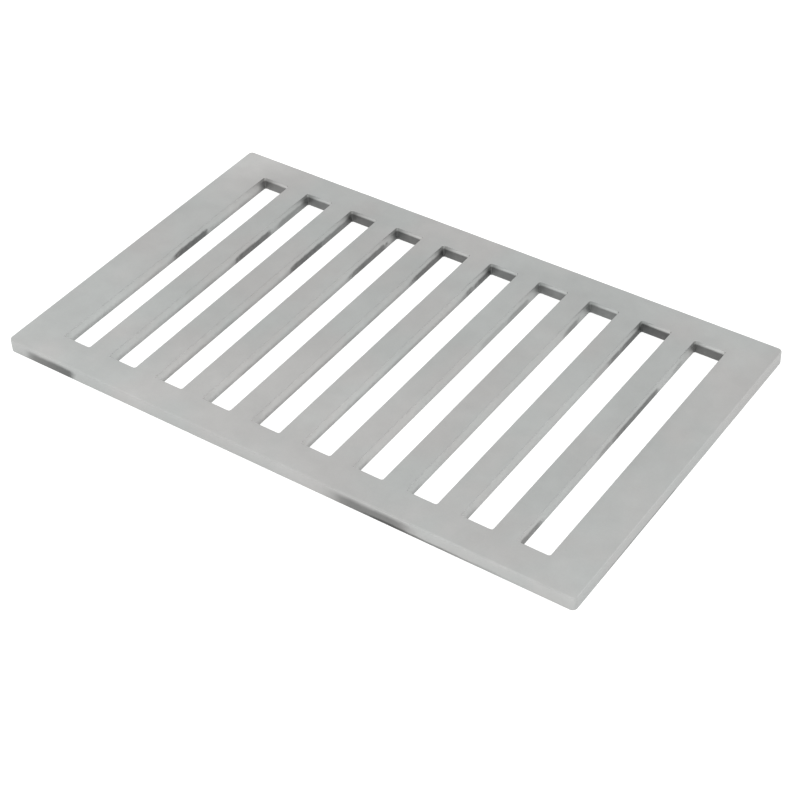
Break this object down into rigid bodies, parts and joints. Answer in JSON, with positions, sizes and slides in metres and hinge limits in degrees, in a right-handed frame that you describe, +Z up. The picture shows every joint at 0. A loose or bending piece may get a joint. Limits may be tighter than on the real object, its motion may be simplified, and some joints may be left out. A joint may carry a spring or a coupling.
{
  "type": "drain grate",
  "caption": "Flat rectangular steel plate with a row of parallel through slots, lying in a drain frame so that water falls through and feet do not.",
  "frame": {"origin": "centre of the plate's underside, the face that sits on the drain frame's ledge", "axes": "+Z up, towards the walking face; +X along the plate's long side, across the slots; +Y along the slots"},
  "size_m": [0.254, 0.1524, 0.006],
  "materials": {
    "plate": "matt satin, fine blasted grain, darker cut walls in the slots"
  },
  "bodies": {
    "root": {"grate_plate": "plate"}
  },
  "joints": []
}
